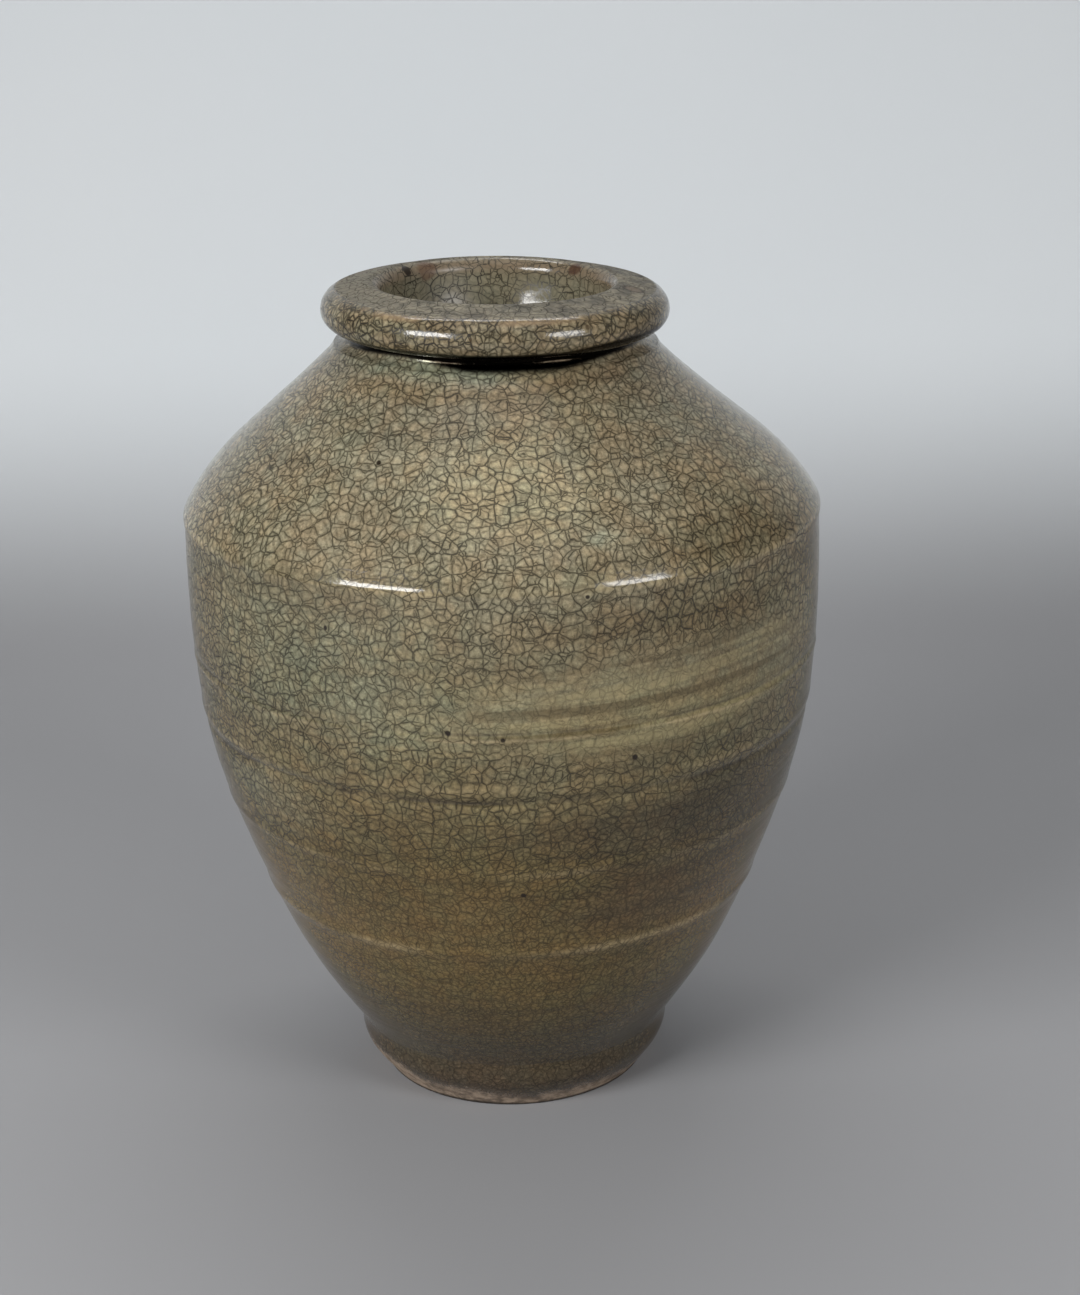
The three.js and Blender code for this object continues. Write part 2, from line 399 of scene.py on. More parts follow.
# Glaze. Heights are in millimetres from the foot, and angles in degrees from the front
glazeLook = {
    "cell": 2.8,
    "rimCell": 2.4,
    "refraction": 1.5,
    "bandWander": 22.0,
    "patchWander": 0.9,
    "streakStretch": (5.0, 5.0, 120.0),
    "tanStreaks": 0.3,
    "green": (0.92, 1.02, 0.98, 1),
    "tan": (1.14, 0.99, 0.82, 1),
    "warm": (1.03, 0.985, 0.93, 1),
    "cool": (0.97, 1.02, 1.03, 1),
    "rimTint": (0.82, 0.81, 0.78, 1),
    "stain": screenColour(32, 26, 14),
    "colours": [
        (0.00, (74, 62, 51)),
        (0.10, (76, 66, 48)),
        (0.22, (99, 84, 53)),
        (0.30, (103, 86, 55)),
        (0.40, (101, 87, 57)),
        (0.49, (106, 95, 69)),
        (0.57, (111, 102, 79)),
        (0.67, (120, 110, 86)),
        (0.76, (137, 126, 103)),
        (0.86, (132, 123, 102)),
        (1.00, (134, 122, 101)),
    ],
}
# Patches of other colours over the bands, lighter, darker or of another hue, among them glaze pooled at the
# neck:
# angle, height, width, tallness, colour, share
glazePatches = [
    (-38, 180, 42, 30, (116, 118, 98), 0.45),
    (-15, 165, 40, 18, (132, 129, 104), 0.45),
    (-28, 260.8, 40, 3.2, (118, 120, 102), 0.8),
    (8, 259.4, 28, 3.0, (116, 118, 100), 0.75),
    (-24, 254.5, 44, 3.0, (120, 104, 76), 0.45),
    (26, 258.0, 26, 5, (112, 92, 66), 0.6),
    (2, 232, 34, 18, (160, 148, 116), 0.6),
    (26, 162, 56, 11, (134, 122, 88), 0.45),
    (60, 180, 30, 16, (120, 112, 88), 0.6),
    (30, 192, 44, 10, (104, 88, 62), 0.7),
    (46, 214, 44, 16, (110, 94, 68), 0.6),
    (70, 200, 34, 14, (92, 78, 56), 0.6),
    (24, 124, 54, 11, (76, 66, 50), 0.45),
    (44, 121, 56, 20, (72, 62, 47), 0.65),
    (76, 128, 18, 22, (100, 98, 80), 0.5),
    (52, 134, 40, 10, (78, 70, 54), 0.45),
    (34, 96, 50, 14, (76, 62, 46), 0.6),
    (-30, 200, 40, 6, (104, 96, 76), 0.6),
    (-48, 128, 30, 14, (116, 110, 88), 0.7),
    (18.4, 218.4, 7, 3.5, (160, 160, 138), 0.5),
    (150, 190, 60, 28, (140, 128, 98), 0.6),
    (-130, 150, 50, 30, (114, 114, 94), 0.6),
    (175, 105, 50, 14, (78, 68, 52), 0.6),
]
# Where slanting wipe marks cross the glaze, and how long and fine they run
wipeLook = {
    "patch": (28, 167, 84, 21),
    "wander": 0.8,
    "rise": 0.03,
    "along": 4.0,
    "across": 105.0,
    "pale": screenColour(148, 136, 100),
    "dark": screenColour(80, 68, 46),
}
# Painted light along the turned ridges and painted shade in the grooves and the seam; their width is a share
# of each line's spread
turnedLightAndShade = {
    "pale": screenColour(176, 158, 122),
    "dark": screenColour(64, 56, 44),
    "wander": 1.6,
    "width": 0.55,
}
# Iron specks, in shares of each speck's radius, and how close the scattered ones lie
speckLook = {"colour": screenColour(28, 19, 12), "core": 0.6, "edge": 1.2, "scatter": 62.0}
# Specks listed one by one: angle, height, radius
ironSpecks = [
    (-10.1, 161.1, 0.95),
    (-0.8, 158.6, 0.85),
    (2.0, 102.1, 1.0),
    (-28.9, 236.8, 1.0),
    (-31.2, 191.2, 0.9),
    (21.8, 149.0, 1.0),
    (-30.0, 214.6, 0.9),
    (13.6, 203.1, 0.7),
    (96, 188, 0.8),
    (-120, 120, 0.7),
    (160, 214, 0.9),
    (-160, 90, 0.6),
]
# Marks on the rim: angle, height, radius from the axis, size, colour, share
rimMarks = [
    (-130, 278.2, 38.6, 1.8, (26, 18, 12), 0.9),
    (-143, 277.5, 38.2, 4.4, (96, 68, 50), 0.6),
    (135.4, 278.0, 38.3, 2.8, (70, 44, 32), 0.75),
    (74, 279.1, 46.6, 4.6, (54, 42, 32), 0.8),
    (74, 279.1, 46.6, 3.0, (116, 102, 84), 0.85),
    (106, 278.2, 50.2, 2.0, (34, 28, 22), 0.85),
    (30, 274.0, 56.6, 1.2, (60, 44, 30), 0.6),
    (-8, 272.0, 57.2, 0.7, (70, 52, 34), 0.6),
    (44, 270.0, 57.4, 1.6, (66, 50, 34), 0.5),
    (-40, 270.5, 57.4, 2.2, (150, 136, 108), 0.4),
]
# Noises over the glaze: cells to a metre, detail, roughness
glazeNoises = {
    "drift": (22.0, 3.0),
    "streaks": (2.2, 4.0, 0.62),
    "mottle": (70.0, 4.0, 0.6),
    "green": (33.0, 3.0, 0.6),
    "tan": (27.0, 3.0, 0.6),
    "hue": (110.0, 2.0, 0.6),
    "grain": (1000.0, 3.0, 0.75),
    "wiped": (2.2, 3.0, 0.6),
    "broken": (30.0, 2.0),
    "warp": (170.0, 2.0),
    "stretch": (17.0, 1.0),
    "fading": (150.0, 2.0),
    "taken": (16.0, 3.0),
    "throat": (60.0, 3.0),
    "sootAndGapShade": (170.0, 5.0, 0.7),
    "worn": (70.0, 3.0, 0.6),
    "edgeClay": (300.0, 4.0, 0.65),
    "floorClay": (900.0, 3.0, 0.7),
    "skin": (200.0, 2.0),
    "skinStreaks": (5.0, 3.0),
}
# Where each change in the glaze starts and where it is full: shares of a noise, or millimetres
glazeFades = {
    "patch": (0.25, 1.25),
    "green": (0.46, 0.68),
    "tan": (0.5, 0.72),
    "hue": (0.36, 0.64),
    "aboveGrain": (60.0, 130.0),
    "aroundWipe": (0.5, 1.1),
    "paleWipe": (0.5, 0.64),
    "pastDarkWipe": (0.38, 0.52),
    "broken": (0.36, 0.62),
    "aboveFaint": (84.0, 122.0),
    "aboveSmall": (102.0, 144.0),
    "fading": (0.3, 0.6),
    "taken": (0.36, 0.62),
    "laterWeight": (0.1, 0.9),
    "smallWeight": (0.0, 0.7),
    "pastStain": (0.0, 1.1),
    "rareSpeck": (0.80, 0.86),
    "pastSpeck": (0.016, 0.034),
    "pastLeft": (-30.0, -8.0),
    "pastFarLeft": (-50.0, -30.0),
    "right": (16.0, 42.0),
    "gapFoot": (-0.9, 0.7),
    "pastGapTop": (0.0, 1.6),
    "gapDepth": (44.0, 45.0),
    "pastGapMouth": (55.4, 56.8),
    "pastThroat": (39.2, 41.0),
    "throatHeight": (200.0, 262.0),
    "pastThroatShine": (-10.0, 2.0),
    "rimTop": (276.6, 277.6),
    "pastRimTop": (51.6, 53.4),
    "rimTopInside": (39.6, 40.8),
    "sootAndGapShade": (0.38, 0.62),
    "pastPaleGrime": (-44.0, -28.0),
    "wornHeight": (275.0, 276.0),
    "pastWorn": (4.0, 40.0),
    "behindWorn": (-30.0, -10.0),
    "worn": (0.45, 0.6),
    "pastDipped": (-44.0, -18.0),
    "aboveClay": (4.2, 8.6),
    "edgeClay": (0.36, 0.64),
    "soleOutside": (45.6, 46.4),
    "aboveContactShade": (0.6, 1.7),
    "aboveFloor": (9.5, 10.5),
}
# How strongly each change shows
glazeShares = {
    "green": 0.4,
    "tan": 0.4,
    "streaks": 0.8,
    "blotches": 0.4,
    "grain": 2.0,
    "grainLow": 0.6,
    "paleWipe": 0.5,
    "darkWipe": 0.6,
    "specks": 0.95,
    "gap": 0.97,
    "throat": 0.6,
    "browned": 0.4,
    "grime": 0.8,
    "worn": 0.5,
    "edgeClay": 0.9,
    "contactShade": 0.9,
}
# Cracks: cells are shares of the glaze's own size. A pair is what every crack has and what its weight adds;
# half widths are in millimetres, and the warps in metres
crackLook = {
    "firstCells": 1.7,
    "laterCells": 1.08,
    "smallCells": 0.7,
    "randomness": 0.82,
    "weightMix": 5.0,
    "firstWidth": (0.3, 0.12),
    "laterWidth": (0.24, 0.12),
    "smallWidth": (0.2, 0.1),
    "firstShare": (0.75, 0.25),
    "laterShare": 0.95,
    "smallShare": 0.9,
    "smallReach": 1.3,
    "fading": (0.75, 0.25),
    "taken": (0.85, 0.15),
    "faint": 0.35,
    "wiped": 0.6,
    "paleness": 1.3,
    "cellTone": 0.16,
    "stain": 0.5,
    "warp": 0.0022,
    "stretch": 0.014,
    "wander": 60.0,
    "lean": 0.2,
    "leastSlant": 0.02,
}
# Painted shade in the gap under the roll, where the roll's shadow falls: the foot and top of the painted
# band, and how far they rise at the sides
gapShadeLook = {
    "foot": 260.7,
    "top": 265.8,
    "left": 2.4,
    "right": 2.2,
    "wander": 1.2,
    # The colour of the painted shade in the gap
    "sootAndGapShade": screenColour(16, 12, 9),
}
throatLook = {
    "brownish": screenColour(108, 98, 78),
    "greenish": screenColour(128, 130, 112),
    "lip": screenColour(132, 104, 84),
    "lipHeight": 277.6,
    "lipSpread": 2.4,
    "wander": 2.0,
    "roughness": 0.22,
    "smoothness": 0.85,
}
# Grime on the rim's flat top, the pale line worn at its front edge, and how uneven the single marks are
grimeLook = {
    "dark": screenColour(84, 80, 69),
    "pale": screenColour(142, 134, 114),
    "left": screenColour(118, 112, 96),
    "wander": 2.0,
    "outerWander": 5.0,
    "sootWander": 0.5,
    "crackShare": 0.7,
    "roughness": 0.5,
    "worn": screenColour(168, 142, 110),
    "wornRadius": 54.2,
    "wornWidth": 1.1,
    "wornWander": 3.0,
    "wornEndWander": 30.0,
    "markWander": 1.5,
    "markMottle": 3.0,
    "markCore": 0.6,
}
# The glaze's ragged end at the foot, the clay below it, and the painted contact shadow along the edge it
# stands on
edgeLook = {
    "darkClay": screenColour(118, 102, 86),
    "paleClay": screenColour(186, 164, 142),
    # The colour of the painted contact shadow
    "contactShade": screenColour(34, 28, 24),
    "mottle": 9.0,
    "wander": 8.0,
    "grain": 9.0,
    "dip": 3.5,
    "contactShadeWander": 1.5,
    "roughness": 0.5,
}
floorLook = {
    "darkClay": screenColour(120, 96, 80),
    "paleClay": screenColour(168, 140, 118),
    "roughness": 0.6,
}
# Gloss, and the height of the relief in metres
glossLook = {
    "roughness": 0.11,
    "mottle": 0.08,
    "cracks": 0.2,
    "skin": 0.00003,
    "skinStreaks": 0.00012,
    "stain": 0.00001,
}


# A glaze is laid in steps. Each step changes the colour, roughness or relief that the one before left
class Glaze:
    def __init__(self, name, look):
        self.look = look
        self.material = bpy.data.materials.new(name)
        self.material.use_nodes = True
        self.material.node_tree.nodes.clear()
        self.make = Maker(self.material.node_tree)
        self.place = self.make.node("ShaderNodeTexCoord", None, None, "Object")
        self.x, self.y, self.z = self.make.parts(self.place)
        self.height = self.z / mm
        self.toRight = self.x / mm
        # Uneven places so that no edge of a patch or a band runs straight
        self.drift = self.noise("drift") - 0.5
        self.mottle = self.noise("mottle") - 0.5
        self.grain = self.noise("grain") - 0.5
        self.streakPlace = self.make.vectors("MULTIPLY", self.place, glazeLook["streakStretch"])
        self.streaks = self.noise("streaks", self.streakPlace) - 0.5
        self.dull = 0.0
        self.outside = 1.0

    def noise(self, kind, place=None, out=0):
        return self.make.noise(place or self.place, *glazeNoises[kind], out=out)

    def fade(self, kind, value):
        return self.make.ease(value, *glazeFades[kind])

    def paint(self, share, tint, how="MIX"):
        self.colour = self.make.mixColour(share, self.colour, tint, how)

    def lighten(self, lightness):
        self.paint(1.0, self.make.vector(lightness, lightness, lightness), "MULTIPLY")

    # How far a point lies from a patch's centre, with the patch's edge at about 1
    def farFrom(self, angle, level, wide, tall):
        away = self.make.vectors("SUBTRACT", self.place, tuple(placeOn(angle, level)))
        shaped = self.make.vectors("MULTIPLY", away, (1 / (wide * mm), 1 / (wide * mm), 1 / (tall * mm)))
        return self.make.vectors("LENGTH", shaped, out=1)

    # Bands of colour up the wall, and the patches over them
    def layColours(self):
        stops = {"stops": [(share, screenColour(*levels)) for share, levels in glazeLook["colours"]]}
        uneven = self.height + self.drift * glazeLook["bandWander"]
        self.colour = self.make.node("ShaderNodeValToRGB", stops, {0: uneven / jarSizes["height"]})
        for angle, level, wide, tall, levels, share in glazePatches:
            wander = glazeLook["patchWander"]
            far = self.farFrom(angle, level, wide, tall) + self.drift * wander + self.streaks * wander
            self.paint((1 - self.fade("patch", far)) * share, screenColour(*levels))

    # Small changes of hue and lightness
    def varyColours(self):
        shares = glazeShares
        self.paint(self.fade("green", self.noise("green")) * shares["green"], glazeLook["green"], "MULTIPLY")
        tan = self.fade("tan", self.noise("tan") + self.streaks * glazeLook["tanStreaks"])
        self.paint(tan * shares["tan"], glazeLook["tan"], "MULTIPLY")
        hue = self.fade("hue", self.noise("hue"))
        self.paint(1.0, self.make.mixColour(hue, glazeLook["warm"], glazeLook["cool"]), "MULTIPLY")
        grain = shares["grain"] + (1 - self.fade("aboveGrain", self.height)) * shares["grainLow"]
        blotches = self.look.get("blotches", shares["blotches"])
        self.lighten(1 + self.streaks * shares["streaks"] + self.mottle * blotches + self.grain * grain)

    # Slanting marks where the glaze was wiped
    def wipe(self):
        look = wipeLook
        self.wiped = 1 - self.fade("aroundWipe", self.farFrom(*look["patch"]) + self.drift * look["wander"])
        slope = (self.z - self.x * look["rise"]) * look["across"]
        slope = self.make.vector(self.x * look["along"], self.y * look["along"], slope)
        slanted = self.noise("wiped", slope)
        pale = self.wiped * self.fade("paleWipe", slanted)
        self.paint(pale * glazeShares["paleWipe"], look["pale"])
        dark = self.wiped * (1 - self.fade("pastDarkWipe", slanted))
        self.paint(dark * glazeShares["darkWipe"], look["dark"])

    # Painted light along the turned ridges, and painted shade in the grooves and the dark seam
    def paintTurnedLightAndShade(self):
        broken = self.fade("broken", self.noise("broken"))
        for level, depth, spread, share in turnedLines:
            uneven = self.height + self.drift * turnedLightAndShade["wander"]
            line = self.make.band(uneven, level, spread * turnedLightAndShade["width"]) * broken
            self.paint(line * share, turnedLightAndShade["pale"] if depth > 0 else turnedLightAndShade["dark"])

    # One net of cracks round the cells of a Voronoi pattern. Each crack is a wall between two cell points,
    # and its distance is measured along the surface, so that it keeps its width where it cuts in at a slant.
    # Each crack also has a weight of its own, the same from both of its cells
    def crackNet(self, place, facing, cells):
        make, look = self.make, crackLook
        scale = 1 / (self.look["cell"] * cells * mm)
        inputs = {"Vector": place, "Scale": scale, "Randomness": look["randomness"]}
        nearest = make.node("ShaderNodeTexVoronoi", {"feature": "F1"}, inputs, "Position")
        second = make.node("ShaderNodeTexVoronoi", {"feature": "F2"}, inputs, "Position")
        shade, otherShade = (found.sibling("Color") for found in (nearest, second))
        mixed = (make.parts(shade)[1] + make.parts(otherShade)[1]) * look["weightMix"]
        weight = make.maths("FRACT", mixed)
        across = make.vectors("NORMALIZE", make.vectors("SUBTRACT", second, nearest))
        both = make.vectors("ADD", second, nearest)
        halfway = make.node("ShaderNodeVectorMath", {"operation": "SCALE"}, {0: both, "Scale": 0.5})
        depth = make.vectors("DOT_PRODUCT", make.vectors("SUBTRACT", halfway, place), across, out=1)
        slant = make.vectors("DOT_PRODUCT", across, facing, out=1)
        spread = make.maths("SQRT", make.maths("MAXIMUM", 1 - slant * slant, look["leastSlant"]))
        return depth / spread / mm, shade, weight

    def weighed(self, kind, weight):
        least, more = crackLook[kind]
        return least + weight * more

    # 1 in the middle of a crack and 0 past its half width
    def crackLine(self, distance, weight, kind):
        return 1 - self.make.ease(distance, 0.0, self.weighed(kind, weight))

    # Crackle: long cracks first, then shorter ones that start and stop at them, smaller and fainter low down
    def crack(self):
        make, look = self.make, crackLook
        facing = make.node("ShaderNodeTexCoord", None, None, "Normal")
        warp = make.vectors("SUBTRACT", self.noise("warp", out="Color"), (0.5, 0.5, 0.5))
        warp = make.vectors("MULTIPLY", warp, (look["warp"],) * 3)
        self.moved = make.vectors("ADD", self.place, warp)
        stretch = make.vectors("MULTIPLY", self.noise("stretch", out="Color"), (look["stretch"],) * 3)
        stretched = make.vectors("ADD", self.moved, stretch)
        first, firstShade, firstWeight = self.crackNet(stretched, facing, look["firstCells"])
        inCell = make.vectors("ADD", stretched, firstShade)
        later, laterShade, laterWeight = self.crackNet(inCell, facing, look["laterCells"])
        small, smallShade, smallWeight = self.crackNet(inCell, facing, look["smallCells"])

        faint = 1 - self.fade("aboveFaint", self.height + self.drift * look["wander"])
        leaning = self.height - self.toRight * look["lean"] + self.drift * look["wander"]
        low = 1 - self.fade("aboveSmall", leaning)
        high = 1 - low
        firstLine = self.crackLine(first, firstWeight, "firstWidth") * self.weighed("firstShare", firstWeight)
        laterLine = self.crackLine(later, laterWeight, "laterWidth") * self.fade("laterWeight", laterWeight)
        smallLine = self.crackLine(small, smallWeight, "smallWidth") * self.fade("smallWeight", smallWeight)
        laterLine = laterLine * look["laterShare"] * high
        smallLine = smallLine * look["smallShare"] * low
        line = make.maths("MAXIMUM", firstLine, make.maths("MAXIMUM", laterLine, smallLine))
        line = line * self.weighed("fading", self.fade("fading", self.noise("fading")))

        # The stain soaks in beside the cracks, and each cell has a tone of its own
        near = make.maths("MINIMUM", first, later * high + small * look["smallReach"] * low)
        self.stain = 1 - self.fade("pastStain", near)
        taken = self.weighed("taken", self.fade("taken", self.noise("taken"))) * (1 - faint * look["faint"])
        self.strength = taken * (1 - self.wiped * look["wiped"]) * self.look.get("bold", 1.0)
        self.cracked = line * self.strength
        cellTone = (make.parts(laterShade)[0] - 0.5) * high + (make.parts(smallShade)[0] - 0.5) * low
        stained = self.stain * look["stain"] * self.strength
        self.lighten(look["paleness"] + cellTone * look["cellTone"] - stained)
        self.paint(self.cracked, glazeLook["stain"])

    # Iron specks: those listed one by one, and a few small ones scattered
    def speckle(self):
        make = self.make
        specks = 0.0
        for angle, level, size in ironSpecks:
            away = make.vectors("DISTANCE", self.moved, tuple(placeOn(angle, level)), out=1)
            speck = 1 - make.ease(away, size * mm * speckLook["core"], size * mm * speckLook["edge"])
            specks = make.maths("MAXIMUM", specks, speck)
        inputs = {"Vector": self.moved, "Scale": speckLook["scatter"]}
        scattered = make.node("ShaderNodeTexVoronoi", None, inputs, "Distance")
        rare = self.fade("rareSpeck", make.parts(scattered.sibling("Color"))[0])
        tiny = (1 - self.fade("pastSpeck", scattered)) * rare
        self.paint(make.maths("MAXIMUM", specks, tiny) * glazeShares["specks"], speckLook["colour"])

    # On the neck and rim the shift and tilt are taken off, so that heights and radii are the rim's own
    def levelRim(self):
        fromAxis = self.x - handMade["Rim Shift"]
        self.across = self.make.maths("SQRT", fromAxis * fromAxis + self.y * self.y) / mm
        self.neckLevel = self.height + self.x * (handMade["Rim Tilt"] / mm)

    # Painted shade in the gap under the roll: its colour is painted near black where the roll's shadow falls.
    # The metallic share takes the gloss off this painted shade
    def paintGapShade(self):
        look = gapShadeLook
        left, right = 1 - self.fade("pastLeft", self.toRight), self.fade("right", self.toRight)
        farLeft = 1 - self.fade("pastFarLeft", self.toRight)
        foot = look["foot"] + left * look["left"] + right * look["right"] - farLeft
        top = look["top"] + right * look["right"]
        gap = self.fade("gapFoot", self.neckLevel - foot + self.drift * look["wander"])
        gap = gap * (1 - self.fade("pastGapTop", self.neckLevel - top))
        gap = gap * self.fade("gapDepth", self.across) * (1 - self.fade("pastGapMouth", self.across - right))
        self.paint(gap * glazeShares["gap"], look["sootAndGapShade"])
        self.dull = gap

    # The throat is greyer, and brown just under the lip
    def greyThroat(self):
        look = throatLook
        inner = 1 - self.fade("pastThroat", self.across + self.drift * look["wander"])
        inner = inner * self.fade("throatHeight", self.neckLevel)
        grey = self.make.mixColour(self.noise("throat"), look["brownish"], look["greenish"])
        self.paint(inner * (1 - self.cracked) * glazeShares["throat"], grey)
        browned = inner * self.make.band(self.neckLevel, look["lipHeight"], look["lipSpread"])
        self.paint(browned * (1 - self.cracked) * glazeShares["browned"], look["lip"])
        rough = inner * (1 - self.fade("pastThroatShine", self.toRight)) * look["roughness"]
        self.roughness = self.roughness + rough
        self.outside = 1 - inner * look["smoothness"]

    # Grime on the rim's flat top, a worn pale line at its front edge, and single marks
    def soilRim(self):
        make, drift, look = self.make, self.drift, grimeLook
        top = self.fade("rimTop", self.neckLevel + drift * look["wander"])
        top = top * (1 - self.fade("pastRimTop", self.across + drift * look["outerWander"]))
        top = top * self.fade("rimTopInside", self.across + drift * look["wander"])
        sootAndGapShade = self.fade("sootAndGapShade", self.noise("sootAndGapShade") + drift * look["sootWander"])
        grime = make.mixColour(sootAndGapShade, look["dark"], look["pale"])
        grime = make.mixColour(1 - self.fade("pastPaleGrime", self.toRight), grime, look["left"])
        self.paint(top * (1 - self.cracked * look["crackShare"]) * glazeShares["grime"], grime)
        self.roughness = self.roughness + top * look["roughness"]
        worn = make.band(self.across + drift * look["wornWander"], look["wornRadius"], look["wornWidth"])
        worn = worn * self.fade("wornHeight", self.neckLevel)
        worn = worn * (1 - self.fade("pastWorn", self.toRight + drift * look["wornEndWander"]))
        worn = worn * (1 - self.fade("behindWorn", self.y / mm)) * self.fade("worn", self.noise("worn"))
        self.paint(worn * glazeShares["worn"], look["worn"])
        for angle, level, radius, wide, levels, share in rimMarks:
            spot = placeOn(angle, level, radius)
            spot = Vector((spot.x + handMade["Rim Shift"], spot.y, spot.z - spot.x * handMade["Rim Tilt"]))
            away = make.vectors("DISTANCE", self.moved, tuple(spot), out=1) / mm
            away = away + drift * look["markWander"] + self.mottle * look["markMottle"]
            spread = 1 - make.ease(away, wide * look["markCore"], wide)
            self.paint(spread * share, screenColour(*levels))

    # Bare clay where the glaze stops at the foot, with painted shadow along the edge that the jar stands on,
    # where its contact shadow falls
    def bareEdge(self):
        look = edgeLook
        level = self.height + self.mottle * look["mottle"] + self.drift * look["wander"]
        dipped = 1 - self.fade("pastDipped", self.toRight)
        edge = 1 - self.fade("aboveClay", level + self.grain * look["grain"] - dipped * look["dip"])
        share = self.fade("edgeClay", self.noise("edgeClay"))
        clay = self.make.mixColour(share, look["darkClay"], look["paleClay"])
        self.paint(edge * glazeShares["edgeClay"], clay)
        fromAxis = self.make.maths("SQRT", self.x * self.x + self.y * self.y) / mm
        # A painted contact shadow along the lowest edge, outside the sole
        contactShade = 1 - self.fade("aboveContactShade", self.height + self.drift * look["contactShadeWander"])
        contactShade = contactShade * self.fade("soleOutside", fromAxis)
        self.paint(contactShade * glazeShares["contactShade"], look["contactShade"])
        self.roughness = self.roughness + edge * look["roughness"]

    # The floor has no glaze on its underside
    def bareUnderside(self):
        look = floorLook
        under = 1 - self.fade("aboveFloor", self.height)
        self.paint(under, self.make.mixColour(self.noise("floorClay"), look["darkClay"], look["paleClay"]))
        self.roughness = self.roughness + under * look["roughness"]

    def setGloss(self):
        worked = self.mottle * glossLook["mottle"]
        self.roughness = glossLook["roughness"] + worked + self.cracked * glossLook["cracks"]

    # The relief is the skin's unevenness, smoother in the throat, and a slight sinking along the cracks
    def finish(self):
        make, look = self.make, glossLook
        streaks = self.noise("skinStreaks", self.streakPlace) * look["skinStreaks"] * self.outside
        sunk = self.stain * self.strength * self.outside * look["stain"]
        relief = self.noise("skin") * look["skin"] + streaks - sunk
        bump = make.node("ShaderNodeBump", None, {"Strength": 1.0, "Distance": 1.0, "Height": relief})
        inputs = {
            "Base Color": self.colour,
            "Metallic": self.dull,
            "Roughness": self.roughness,
            "IOR": glazeLook["refraction"],
            "Normal": bump,
        }
        shader = make.node("ShaderNodeBsdfPrincipled", None, inputs)
        make.node("ShaderNodeOutputMaterial", None, {"Surface": shader})
        return self.material


def glazeMaterial(name, **look):
    glaze = Glaze(name, look)
    glaze.layColours()
    glaze.varyColours()
    glaze.wipe()
    glaze.paintTurnedLightAndShade()
    glaze.crack()
    glaze.speckle()
    glaze.setGloss()
    if "tint" in look:
        glaze.paint(1.0, look["tint"], "MULTIPLY")
    if "neck" in look:
        glaze.levelRim()
        glaze.paintGapShade()
        glaze.greyThroat()
    if "soiled" in look:
        glaze.soilRim()
    if "bareEdge" in look:
        glaze.bareEdge()
    if "bareUnderside" in look:
        glaze.bareUnderside()
    return glaze.finish()


bodyGlaze = glazeMaterial("crackled body glaze", cell=glazeLook["cell"])
print("body glaze made")

# Foot ring and floor
footSizes = {
    "contact": 46.7,
    "flare": 2.8,
    "bulge": 54.6,
    "bulgeHeight": 15.1,
    "edge": 0.9,
    "recess": 39.0,
    "recessDepth": 6.5,
    "dome": 1.2,
    "seat": 45.0,
    "floor": 8.3,
    "dish": 2.4,
}


def footOutline():
    sizes = footSizes
    start = Vector((sizes["contact"], sizes["edge"]))
    bulge = Vector((sizes["bulge"], sizes["bulgeHeight"]))
    flareLow = Vector((sizes["contact"] + sizes["flare"], sizes["bulgeHeight"] / 3))
    flareHigh = Vector((sizes["bulge"], sizes["bulgeHeight"] * 0.65))
    flare = curve(start, flareLow, flareHigh, bulge, count=16)
    outer, inner, direction = jointEnds(heel)
    waist = Vector((sizes["bulge"], (sizes["bulgeHeight"] + heel["height"]) / 2))
    drawn = bent(bulge, waist, outer, count=8)
    floorEdge = sizes["recessDepth"] + sizes["floor"] + sizes["dish"]
    coveFoot = Vector((sizes["seat"], floorEdge))
    cove = bent(inner, Vector((sizes["seat"], (floorEdge + inner.y) / 2)), coveFoot, count=6)
    corner = Vector((sizes["contact"] - sizes["edge"], 0))
    sole = bent(corner, Vector((sizes["contact"], 0)), start, count=4)[:-1]
    recessEdge = bent(
        Vector((sizes["recess"], sizes["edge"])),
        Vector((sizes["recess"], 0)),
        Vector((sizes["recess"] + sizes["edge"], 0)),
        count=4,
    )
    return [
        *sole,
        *flare,
        *drawn[1:],
        keyPoint(outer, inner, direction, 0),
        *cove,
        Vector((sizes["seat"], sizes["recessDepth"])),
        Vector((sizes["recess"], sizes["recessDepth"])),
        *recessEdge,
    ]


def floorOutline():
    sizes = footSizes
    under = sizes["recessDepth"] + jarSizes["slip"]
    top = under + sizes["floor"]
    edge = sizes["seat"] - jarSizes["slip"] / 2
    middle = under + sizes["dome"]
    shoulder = Vector((sizes["recess"] - jarSizes["slip"], under))
    dome = bent(Vector((0, middle)), Vector((sizes["recess"] / 2, middle)), shoulder, count=16)
    dish = bent(Vector((edge, top + sizes["dish"])), Vector((edge * 0.8, top)), Vector((0, top)), count=20)
    return [*dome, Vector((edge, under)), *dish]


footGlaze = glazeMaterial("foot glaze", cell=glazeLook["cell"], bareEdge=True)
floorClay = glazeMaterial("floor clay", cell=glazeLook["cell"], bareUnderside=True)
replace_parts(turnPiece("footRing", footOutline(), footGlaze), "foot_ring")
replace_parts(turnPiece("floorDisc", floorOutline(), floorClay), "base_disc")
print("foot and floor made")

# Wall sections
wallSections = {
    "lowerWall": ("lower_wall", (heel, lowerRidge)),
    "middleWall": ("middle_wall", (lowerRidge, seam)),
    "bellyWall": ("belly_wall", (seam, shoulderRidge)),
    "shoulderWall": ("shoulder_wall", (shoulderRidge, shoulderTurn, neckRoot)),
}
for name, (node, joints) in wallSections.items():
    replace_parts(turnPiece(name, wallOutline(*joints), bodyGlaze), node)
print("walls made")

